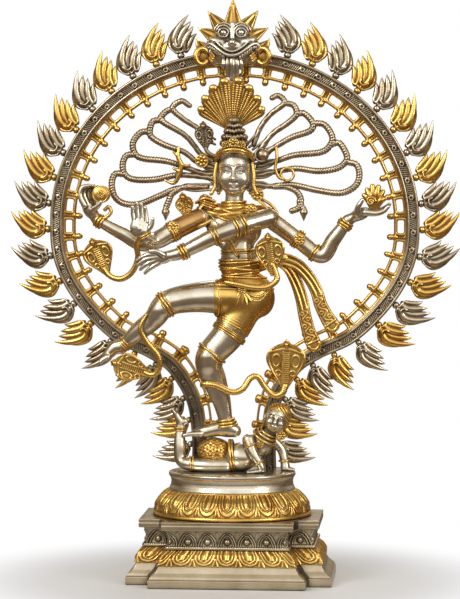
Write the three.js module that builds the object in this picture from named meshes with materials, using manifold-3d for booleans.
// Brass dancing figure in a ring of flames, on a lotus and a stepped plinth.
// Millimetres, +Z up, +X to the viewer's right, the front faces -Y.
// The origin is at the bottom centre of the plinth.
import * as THREE from "three";
import { mergeVertices } from "three/addons/utils/BufferGeometryUtils.js";
import Module from "manifold-3d";

const wasm = await Module();
wasm.setup();

// ---------- driving dimensions ----------
const GAP = 0.3; // clearance between neighbouring castings
const PLINTH = {
  wide: [138, 70], // half width and half depth of the wide bar of the cross plan
  deep: [105, 101], // the same for the deep bar
  height: 87.5,
  topInset: 17,
  wall: 11,
  roof: 8,
};
const LOTUS = { low: [107, 90], high: [86, 72], height: 34, wall: 13 };
const DISC = { radii: [86, 70], top: 147, roof: 9 };
const ARCH = {
  centreZ: 482,
  radii: [243, 224], // of the rim's centreline, across and up
  y: 33, // middle of the arch's depth
  rimWidth: 18,
  rimDepth: 12,
  railInset: 24,
  railWidth: 4,
  railDepth: 6,
  beadInset: 29,
  footInset: 0.67, // share of the insets that is left where the ladder reaches the feet
  beadRadius: 4.3,
  beadCount: 23,
  footX: 48.5,
  tenon: [10, 7, 9],
};
const FLAME = {
  perSide: 21,
  firstStep: 70, // length along the rim from its top to the first flame
  step: 34,
  length: 58,
  halfWidth: 16.5,
  lowerHalfWidth: 10.8, // below the inward bend, where the flames crowd together
  lowerFrom: 16,
  depth: 9,
  neck: 4.6,
  peg: [4, 4, 5],
};
const GOLD = { color: 0xcc9438, roughness: 0.32, metalness: 1 };
const SILVER = { color: 0xb8b2a3, roughness: 0.34, metalness: 1 };

// ---------- closed geometry and booleans ----------
function solidOf(geometry) {
  const bare = geometry.clone();
  bare.deleteAttribute("normal");
  bare.deleteAttribute("uv");
  const merged = mergeVertices(bare, 1e-4);
  const index = merged.index.array;
  const triVerts = [];
  for (let i = 0; i < index.length; i += 3) {
    const [a, b, c] = index.slice(i, i + 3);
    if (a !== b && b !== c && c !== a) triVerts.push(a, b, c);
  }
  return new wasm.Manifold(
    new wasm.Mesh({
      numProp: 3,
      vertProperties: merged.attributes.position.array,
      triVerts: new Uint32Array(triVerts),
    }),
  );
}

const join = (solids) => solids.reduce((all, one) => all.add(one));

function meshOf(name, solid, finish) {
  const { vertProperties, triVerts } = solid.getMesh();
  const geometry = new THREE.BufferGeometry();
  geometry.setAttribute("position", new THREE.BufferAttribute(new Float32Array(vertProperties), 3));
  geometry.setIndex(new THREE.BufferAttribute(new Uint32Array(triVerts), 1));
  geometry.computeVertexNormals();
  const mesh = new THREE.Mesh(geometry, new THREE.MeshStandardMaterial(finish));
  mesh.name = name;
  return mesh;
}

// ---------- plain building blocks ----------
const vector = ([x, y, z]) => new THREE.Vector3(x, y, z);

// An ellipsoid, tilted in the XZ plane by a number of degrees (positive leans its top to +X).
function ball(centre, radii, tilt = 0, around = 8, up = 5) {
  const geometry = new THREE.SphereGeometry(1, around, up);
  geometry.rotateX(Math.PI / 2);
  geometry.scale(...radii);
  geometry.rotateY(THREE.MathUtils.degToRad(tilt));
  geometry.translate(...centre);
  return solidOf(geometry);
}

// A round bar from a to b whose radius runs from ra to rb.
function bar(a, b, ra, rb, sides = 7) {
  const from = vector(a);
  const along = vector(b).sub(from);
  const geometry = new THREE.CylinderGeometry(rb, ra, along.length(), sides);
  geometry.translate(0, along.length() / 2, 0);
  const up = new THREE.Vector3(0, 1, 0);
  geometry.applyQuaternion(new THREE.Quaternion().setFromUnitVectors(up, along.normalize()));
  geometry.translate(from.x, from.y, from.z);
  return solidOf(geometry);
}

// A limb: a round bar along a smooth curve through points [x, y, z, radius], made fatter by grow.
function limb(points, grow = 0, sides = 7, stepsPerPoint = 2) {
  const path = new THREE.CatmullRomCurve3(points.map(vector), false, "centripetal");
  const steps = (points.length - 1) * stepsPerPoint;
  const { normals, binormals } = path.computeFrenetFrames(steps);
  const geometry = new THREE.CylinderGeometry(1, 1, 1, sides, steps);
  const place = geometry.attributes.position;
  for (let i = 0; i < place.count; i++) {
    const ring = Math.round((place.getY(i) + 0.5) * steps);
    const share = path.getUtoTmapping(ring / steps) * (points.length - 1);
    const last = Math.min(points.length - 2, Math.floor(share));
    const radius = grow + THREE.MathUtils.lerp(points[last][3], points[last + 1][3], share - last);
    const centre = path.getPointAt(ring / steps);
    centre.addScaledVector(normals[ring], radius * place.getX(i));
    centre.addScaledVector(binormals[ring], -radius * place.getZ(i));
    place.setXYZ(i, centre.x, centre.y, centre.z);
  }
  return solidOf(geometry);
}

// The same with one radius all along.
function tube(points, radius, sides = 5, stepsPerPoint = 2) {
  return limb(points.map((point) => [...point, radius]), 0, sides, stepsPerPoint);
}

// A plate standing in the XZ plane: an outline of [x, z] points about (0, 0), turned by lean degrees
// towards +X, moved to a centre, with its depth centred on the centre's y.
function plate(outline, centre, depth, lean = 0) {
  const shape = new THREE.Shape(outline.map(([x, z]) => new THREE.Vector2(x, z)));
  const geometry = new THREE.ExtrudeGeometry(shape, { depth, bevelEnabled: false });
  geometry.translate(0, 0, -depth / 2);
  geometry.rotateX(Math.PI / 2);
  geometry.rotateY(THREE.MathUtils.degToRad(lean));
  geometry.translate(...centre);
  return solidOf(geometry);
}

function block(centre, size) {
  return solidOf(new THREE.BoxGeometry(...size).translate(...centre));
}

// The right half of an outline, closed by its reflection.
function mirrored(outline) {
  const left = outline.map(([x, z]) => [-x, z]).reverse();
  return [...outline, ...left.filter(([x]) => x !== 0)];
}

// ---------- plinth ----------
// A rectangle with vertical or sloping sides, from half sizes low at z0 to half sizes high at z1.
function frustum(low, high, z0, z1) {
  const geometry = new THREE.BoxGeometry(2, 2, z1 - z0).translate(0, 0, (z0 + z1) / 2);
  const place = geometry.attributes.position;
  for (let i = 0; i < place.count; i++) {
    const half = place.getZ(i) > (z0 + z1) / 2 ? high : low;
    place.setXY(i, place.getX(i) * half[0], place.getY(i) * half[1]);
  }
  return solidOf(geometry);
}

// One storey of the cross plan, drawn in from the bottom plate by inLow at z0 and inHigh at z1,
// and by 0.6 of that in depth.
function storey(z0, z1, inLow, inHigh) {
  const shrink = ([x, y], inset) => [x - inset, y - 0.6 * inset];
  return join(
    [PLINTH.wide, PLINTH.deep].map((half) => frustum(shrink(half, inLow), shrink(half, inHigh), z0, z1)),
  );
}

function plinth() {
  const outside = join([
    storey(0, 11, 0, 0),
    storey(10.5, 29, 3, 15),
    storey(28.5, 48, 14, 25),
    storey(47.5, 75.5, 25, 25),
    storey(75, PLINTH.height, PLINTH.topInset, PLINTH.topInset),
  ]);
  const lowRoom = storey(-1, 24, PLINTH.wall, 24);
  const highRoom = storey(23, PLINTH.height - PLINTH.roof, 25 + PLINTH.wall, 25 + PLINTH.wall);
  return outside.subtract(lowRoom).subtract(highRoom);
}

// ---------- lotus and disc ----------
// A turned shape, closed on the axis, squashed to an ellipse plan: profile of [radius share, z].
function oval(profile, radii, segments = 32) {
  const points = profile.map(([share, z]) => new THREE.Vector2(share, z));
  const geometry = new THREE.LatheGeometry(points, segments);
  geometry.rotateX(Math.PI / 2);
  geometry.scale(radii[0], radii[1], 1);
  return solidOf(geometry);
}

function lotusBase() {
  const floor = PLINTH.height + GAP;
  const shoulder = PLINTH.height + LOTUS.height;
  const highShare = LOTUS.high[0] / LOTUS.low[0];
  const discShare = DISC.radii[0] / LOTUS.low[0];
  const outside = oval(
    [
      [0, floor],
      [0.97, floor],
      [1, floor + 5],
      [0.93, floor + 14],
      [highShare, shoulder],
      [discShare * 0.97, shoulder + 0.5],
      [discShare * 0.955, shoulder + 12],
      [discShare, DISC.top - 5],
      [discShare, DISC.top],
      [0, DISC.top],
    ],
    LOTUS.low,
  );
  const inShare = (LOTUS.low[0] - LOTUS.wall) / LOTUS.low[0];
  const room = oval(
    [
      [0, floor - 1],
      [inShare, floor - 1],
      [highShare - 0.14, shoulder],
      [discShare - 0.16, DISC.top - DISC.roof],
      [0, DISC.top - DISC.roof],
    ],
    LOTUS.low,
    24,
  );
  return outside.subtract(room).subtract(archTenons(GAP));
}

// ---------- arch ----------
// The rim's centreline from its top down the right side: a quarter ellipse, then a drawn-in foot.
function rightCentreline() {
  const points = [];
  const quarterSteps = 9;
  for (let i = 0; i <= quarterSteps; i++) {
    const turn = ((Math.PI / 2) * i) / quarterSteps;
    points.push([ARCH.radii[0] * Math.sin(turn), ARCH.centreZ + ARCH.radii[1] * Math.cos(turn)]);
  }
  points.push([240, 440], [224, 399], [196, 361], [159, 327], [115, 306], [82, 283], [56, 239]);
  points.push([ARCH.footX, 190], [ARCH.footX, DISC.top + GAP]);
  return points;
}
const RIGHT = new THREE.CatmullRomCurve3(
  rightCentreline().map(([x, z]) => new THREE.Vector3(x, 0, z)),
  false,
  "centripetal",
);
RIGHT.arcLengthDivisions = 400;
const RIGHT_LENGTH = RIGHT.getLength();
const RIM_STEPS = 32; // per side
const RAIL_STEPS = 22;
const FIRST_BEAD = 48; // length along the rim from its top

// Place, tangent and outward normal on the right half of the rim, at a length from the top.
function onRim(length) {
  const share = Math.min(1, length / RIGHT_LENGTH);
  const place = RIGHT.getPointAt(share);
  const tangent = RIGHT.getTangentAt(share);
  return { x: place.x, z: place.z, outX: -tangent.z, outZ: tangent.x };
}

// The ladder's insets shrink towards the feet.
function insetShare(length) {
  const down = THREE.MathUtils.smoothstep(length, 0.76 * RIGHT_LENGTH, 0.92 * RIGHT_LENGTH);
  return THREE.MathUtils.lerp(1, ARCH.footInset, down);
}

// Points of a band that runs beside the whole rim, foot to foot, offset outwards.
function offsetPath(offset, steps) {
  const right = [];
  for (let i = 0; i <= steps; i++) {
    const length = (RIGHT_LENGTH * i) / steps;
    const { x, z, outX, outZ } = onRim(length);
    const away = offset < -ARCH.rimWidth ? offset * insetShare(length) : offset;
    right.push([Math.max(0, x + away * outX), ARCH.y, z + away * outZ]);
  }
  right[0][0] = 0;
  const left = right.slice(1).map(([x, y, z]) => [-x, y, z]);
  return [...left.reverse(), ...right];
}

// A band bounded by an outer and an inner offset of the rim's centreline.
function band(outerOffset, innerOffset, depth, steps) {
  const outer = offsetPath(outerOffset, steps).map(([x, , z]) => [x, z]);
  const inner = offsetPath(innerOffset, steps).map(([x, , z]) => [x, z]);
  return plate([...outer, ...inner.reverse()], [0, ARCH.y, 0], depth);
}

function archTenons(grow) {
  const [width, depth, height] = ARCH.tenon;
  return join(
    [-1, 1].map((side) =>
      block(
        [side * ARCH.footX, ARCH.y, DISC.top - (height + grow) / 2 + 1],
        [width + 2 * grow, depth + 2 * grow, height + grow + 2],
      ),
    ),
  );
}

function archRim() {
  const half = ARCH.rimWidth / 2;
  const railHalf = ARCH.railWidth / 2;
  const pieces = [
    band(half, -half, ARCH.rimDepth, RIM_STEPS),
    band(railHalf - ARCH.railInset, -railHalf - ARCH.railInset, ARCH.railDepth, RAIL_STEPS),
    archTenons(0).subtract(block([0, ARCH.y, DISC.top + 5], [300, 40, 10 - 2 * GAP])),
  ];
  const beadStep = (RIGHT_LENGTH - FIRST_BEAD - 27) / ARCH.beadCount;
  const bead = ARCH.beadRadius;
  for (let i = 0; i < ARCH.beadCount; i++) {
    const length = FIRST_BEAD + i * beadStep;
    const { x, z, outX, outZ } = onRim(length);
    const lean = THREE.MathUtils.radToDeg(Math.atan2(outX, outZ));
    const inset = ARCH.beadInset * insetShare(length);
    const rung = mirrored([
      [2, 2 - half],
      [2, 2 - inset + bead],
      [bead, 1 - inset],
      [0, -inset - bead],
    ]).reverse();
    for (const side of [-1, 1]) {
      pieces.push(plate(rung, [side * x, ARCH.y, z], ARCH.railDepth - 1, side * lean));
    }
  }
  for (const flame of flamePlaces()) pieces[0] = pieces[0].subtract(flamePeg(flame, GAP));
  return join(pieces);
}

// ---------- flames ----------
// Lean of a flame from the rim's outward normal towards the top, in degrees, by its number from the top.
function flameLean(number) {
  if (number <= 11) return 28;
  if (number <= 16) return 28 - 3 * (number - 11);
  return 13 - 4.6 * (number - 16);
}

function flamePlaces() {
  const places = [];
  for (let number = 1; number <= FLAME.perSide; number++) {
    const { x, z, outX, outZ } = onRim(FLAME.firstStep + (number - 1) * FLAME.step);
    const normal = THREE.MathUtils.radToDeg(Math.atan2(outX, outZ));
    const edge = ARCH.rimWidth / 2 + GAP;
    for (const side of [-1, 1]) {
      places.push({
        number,
        side,
        normal: side * normal,
        lean: side * (normal - flameLean(number)),
        root: [side * (x + edge * outX), ARCH.y, z + edge * outZ],
      });
    }
  }
  return places;
}

function flamePeg({ root, normal }, grow) {
  const [width, depth, length] = FLAME.peg;
  const half = width / 2 + grow;
  const outline = [
    [-half, -length - grow],
    [half, -length - grow],
    [half, 4],
    [-half, 4],
  ];
  return plate(outline, root, depth + 2 * grow, normal);
}

function flame(place) {
  const { length, depth, neck } = FLAME;
  const halfWidth = place.number < FLAME.lowerFrom ? FLAME.halfWidth : FLAME.lowerHalfWidth;
  const tongues = mirrored([
    [neck - 1, 3],
    [0.67 * halfWidth, 10],
    [halfWidth, 32],
    [0.64 * halfWidth, 27],
    [0.52 * halfWidth, 45],
    [0.3 * halfWidth, 38],
    [0, length],
  ]);
  return plate(tongues, place.root, depth, place.lean).add(flamePeg(place, 0));
}

// ---------- crest ----------
function crestMask() {
  const face = mirrored([
    [0, -28],
    [14, -26],
    [30, -14],
    [50, -10],
    [52, 6],
    [40, 10],
    [44, 25],
    [31, 22],
    [42, 42],
    [26, 34],
    [31, 62],
    [15, 46],
    [0, 82],
  ]);
  const rimTop = ARCH.centreZ + ARCH.radii[1] + ARCH.rimWidth / 2 + GAP;
  const pieces = [
    plate(face, [0, 20, 703], 13),
    ball([0, 8, 715], [27, 14, 30]),
    ball([0, 8, 692], [18, 9, 19]),
    block([0, 32, rimTop + 5], [36, 14, 10]),
  ];
  for (const side of [-1, 1]) {
    pieces.push(ball([side * 12, -2, 739], [8, 7, 8], 0, 7, 4));
    pieces.push(ball([side * 40, 12, 706], [11, 10, 11], 0, 7, 4));
  }
  return join(pieces);
}

// ---------- dancer ----------
const NECK = [3, -5, 512];
const HEAD = [4, -7, 553];
const SOLE = 193;
const STANDING_LEG = [
  [16, -4, 372, 26],
  [-29, -18, 299, 19],
  [-21, -12, 270, 17],
  [-14, -10, 247, 14.5],
  [-9, -7, 214, 9.5],
  [-7, -7, 204, 9],
];
const STANDING_FOOT = [
  [5, -6, 203, 9],
  [-28, -9, 202, 8],
  [-56, -12, 200, 6],
];
const RAISED_LEG = [
  [-2, -10, 382, 25],
  [-46, -24, 380, 19],
  [-86, -34, 369, 15],
  [-117, -28, 345, 12],
  [-143, -20, 320, 8],
  [-150, -19, 314, 8],
  [-170, -20, 304, 5.5],
];

function dancerBody(grow = 0) {
  const more = (radii) => radii.map((r) => r + grow);
  const body = join([
    ball([20, -3, 384], more([36, 26, 30])),
    ball([9, -3, 428], more([25, 20, 30])),
    ball([3, -3, 474], more([38, 23, 30])),
    limb([[-40, 0, 491, 14], [48, 0, 491, 14]], grow),
    limb([[...NECK.slice(0, 2), 500, 12], [NECK[0], NECK[1], 532, 11]], grow),
    ball(HEAD, more([22, 21, 27])),
    bar([4, -4, 572], [3, -2, 627], 23 + grow, 10 + grow),
    limb(STANDING_LEG, grow),
    limb(RAISED_LEG, grow),
    limb(STANDING_FOOT, grow),
  ]);
  return body.subtract(block([0, 0, SOLE - 20 - grow], [400, 200, 40]));
}

function arm(points, extras = []) {
  return join([limb(points), ...extras]).subtract(dancerBody(GAP));
}

function drumArm() {
  const forearm = [[-46, 12, 491, 11.5], [-118, 8, 454, 11.5], [-184, 6, 484, 8], [-196, 6, 510, 9]];
  const drum = bar([-178, -8, 521], [-178, 10, 521], 13, 13, 10);
  return arm(forearm, [drum, bar([-196, 6, 508], [-197, 6, 531], 8, 4)]);
}

function fireArm() {
  const forearm = [[56, 12, 491, 11.5], [121, 8, 438, 11.5], [156, 4, 486, 8.5], [180, 2, 498, 8]];
  const fire = plate(
    mirrored([[4, -19], [16, -10], [16, 4], [9, 0], [8, 12], [0, 19]]),
    [190, -1, 521],
    9,
  );
  return arm(forearm, [fire, bar([180, 2, 498], [209, 2, 500], 7, 4)]);
}

function blessingArm() {
  const forearm = [[-46, -15, 491, 12], [-99, -28, 459, 12.5], [-113, -44, 462, 9], [-118, -48, 472, 11]];
  return arm(forearm, [
    plate([[-13, -2], [12, -4], [13, 12], [10, 36], [-8, 38], [-15, 14]], [-118, -49, 470], 10),
  ]).subtract(armCobra(GAP));
}

function crossingArm() {
  const forearm = [
    [52, -15, 490, 12], [12, -36, 479, 12], [-22, -46, 465, 11],
    [-64, -48, 444, 9], [-96, -48, 436, 9], [-118, -48, 432, 5],
  ];
  return arm(forearm, [
    bar([-90, -50, 436], [-101, -52, 414], 8, 4),
  ]).subtract(blessingArm());
}

// ---------- hair, crown ----------
const LEFT_LOCKS = [
  [[-82, 641], [-66, 646], [-58, 628], [-30, 606]],
  [[-96, 623], [-90, 632], [-72, 610], [-34, 573]],
  [[-113, 606], [-108, 620], [-94, 590], [-34, 563]],
  [[-136, 590], [-126, 604], [-122, 571], [-30, 553]],
  [[-150, 562], [-142, 574], [-134, 542], [-26, 546]],
  [[-163, 534], [-156, 548], [-147, 508], [-99, 519], [-24, 533]],
];
const RIGHT_LOCKS = [
  [[52, 651], [69, 646], [51, 629], [28, 594]],
  [[69, 645], [86, 630], [72, 615], [34, 584]],
  [[86, 630], [108, 617], [98, 602], [34, 575]],
  [[108, 617], [134, 600], [120, 578], [34, 563]],
  [[132, 590], [153, 574], [140, 556], [30, 551]],
  [[152, 566], [171, 546], [146, 523], [80, 534], [28, 535]],
];

function hairFan(locks) {
  const y = 12;
  const side = Math.sign(locks[0][0][0]);
  const strands = locks.map((lock) => tube(lock.map(([x, z]) => [x, y, z]), 3, 5));
  const tips = locks.map((lock) => lock[0]);
  const fringe = [[side * 50, 640], ...tips, [side * 100, 508], [side * 60, 520]];
  const edge = tube(fringe.map(([x, z]) => [x, y - 0.4, z]), 3.7, 4, 1);
  const web = limb([[side * 24, y, 590, 4], [side * 34, y, 560, 4], [side * 24, y, 532, 4]], 0, 5);
  const spray = join([...strands, edge, web]);
  return spray.subtract(dancerBody(GAP));
}

function crownPlume() {
  const lobes = 7;
  const pieces = [ball([0, 4, 624], [17, 4, 20], 0, 7, 4)];
  for (let i = 0; i < lobes; i++) {
    const turn = THREE.MathUtils.degToRad(-66 + (132 * i) / (lobes - 1));
    const reach = 46 + 12 * Math.cos(turn);
    const centre = [0.62 * reach * Math.sin(turn), 4, 615 + 0.7 * reach * Math.cos(turn)];
    pieces.push(ball(centre, [9, 4, 24], (turn * 180) / Math.PI, 6, 4));
  }
  return join(pieces).subtract(dancerBody(GAP)).subtract(crestMask());
}

// ---------- cobras and sash ----------
const HOOD = mirrored([[0, -22], [10, -14], [20, 2], [20, 14], [12, 22], [0, 24]]);

function cobra(route, hoodCentre, hoodDepth, size, lean, grow) {
  const outline = HOOD.map(([x, z]) => [x * size, z * size]);
  return tube(route, 4.2 + grow).add(plate(outline, hoodCentre, hoodDepth + 2 * grow, lean));
}

function legCobra() {
  const route = [
    [-42, -20, 262], [-36, -33, 266], [-18, -36, 265], [4, -32, 256], [16, -26, 260],
    [26, -22, 274], [36, -20, 276], [46, -18, 262], [58, -18, 251], [72, -18, 255], [73, -16, 278],
  ];
  return cobra(route, [72, -16, 296], 9, 1.2, 0, 0).subtract(dancerBody(GAP));
}

function ankleCobra() {
  const route = [
    [-112, -42, 360], [-120, -42, 342], [-112, -38, 324], [-98, -36, 307],
    [-96, -34, 292], [-104, -32, 280], [-112, -30, 281],
  ];
  return cobra(route, [-131, -28, 289], 8, 0.95, -70, 0).subtract(dancerBody(GAP));
}

function armCobra(grow = 0) {
  const route = [
    [-120, -32, 468], [-128, -24, 452], [-127, -18, 436], [-136, -14, 416],
    [-151, -10, 407], [-164, -6, 411], [-172, -4, 420],
  ];
  return cobra(route, [-185, 0, 432], 9, 0.95, -20, grow);
}

function waistCobra() {
  const route = [
    [6, -30, 403], [32, -30, 397], [52, -29, 399], [62, -28, 408], [58, -27, 420], [55, -27, 430],
  ];
  return cobra(route, [55, -28, 442], 8, 1, 0, 0).subtract(dancerBody(GAP));
}

function sash() {
  const strip = (outline) => plate(outline, [0, 12, 0], 7);
  const outer = strip([
    [66, 440], [80, 442], [98, 428], [113, 411], [123, 391], [128, 374], [136, 358], [145, 350],
    [132, 334], [118, 350], [110, 370], [104, 390], [95, 404], [82, 418],
  ]);
  const inner = strip([
    [66, 442], [76, 438], [97, 400], [104, 380], [107, 360], [112, 338], [122, 318],
    [110, 306], [102, 314], [94, 334], [89, 358], [86, 378], [79, 396], [70, 414],
  ]);
  const knot = limb([[40, 10, 424, 8], [72, 12, 434, 7]], 0, 7);
  return join([outer, inner, knot]).subtract(dancerBody(GAP)).subtract(waistCobra());
}

// ---------- dwarf ----------
function dwarf() {
  const floor = DISC.top + GAP;
  const body = join([
    ball([11, -12, 167], [25, 25, 21]),
    ball([-23, -8, 171], [24, 21, 20]),
    ball([-28, -26, 159], [25, 13, 13]),
    ball([33, -8, 182], [19, 20, 17], 30),
    limb([[-58, -14, 157, 10], [-69, -12, 180, 9], [-72, -11, 208, 7], [-78, -13, 226, 6]]),
    limb([[-30, -8, 160, 12], [-58, -14, 157, 10]]),
    limb([[42, -10, 192, 12], [54, -12, 204, 11]]),
    ball([61, -14, 218], [18, 20, 22], 12),
    limb([[26, -24, 190, 8], [35, -31, 171, 7.5], [45, -33, 154, 7]]),
    limb([[46, 2, 190, 9], [66, 3, 178, 7.5], [72, 4, 155, 7]]),
    ball([-4, -11, 180], [24, 16, 14], 0, 10, 6),
  ]);
  return body.subtract(block([0, 0, floor - 30], [400, 300, 60])).subtract(dancerBody(GAP));
}

// ---------- assembly ----------
const statue = new THREE.Group();

statue.add(
  meshOf("plinth", plinth(), SILVER),
  meshOf("lotus_base", lotusBase(), GOLD),
  meshOf("arch_rim", archRim(), SILVER),
  meshOf("crest_mask", crestMask(), GOLD),
  meshOf("dancer_body", dancerBody(), GOLD),
  meshOf("drum_arm", drumArm(), SILVER),
  meshOf("fire_arm", fireArm(), SILVER),
  meshOf("blessing_arm", blessingArm(), SILVER),
  meshOf("crossing_arm", crossingArm(), SILVER),
  meshOf("hair_fan_left", hairFan(LEFT_LOCKS), SILVER),
  meshOf("hair_fan_right", hairFan(RIGHT_LOCKS), SILVER),
  meshOf("crown_plume", crownPlume(), GOLD),
  meshOf("sash", sash(), GOLD),
  meshOf("dwarf", dwarf(), GOLD),
  meshOf("leg_cobra", legCobra(), GOLD),
  meshOf("ankle_cobra", ankleCobra(), GOLD),
  meshOf("arm_cobra", armCobra(), GOLD),
  meshOf("waist_cobra", waistCobra(), GOLD),
);

for (const place of flamePlaces()) {
  const side = place.side < 0 ? "left" : "right";
  const name = `flame_${side}_${String(place.number).padStart(2, "0")}`;
  statue.add(meshOf(name, flame(place), place.number % 2 ? SILVER : GOLD));
}

export default statue;
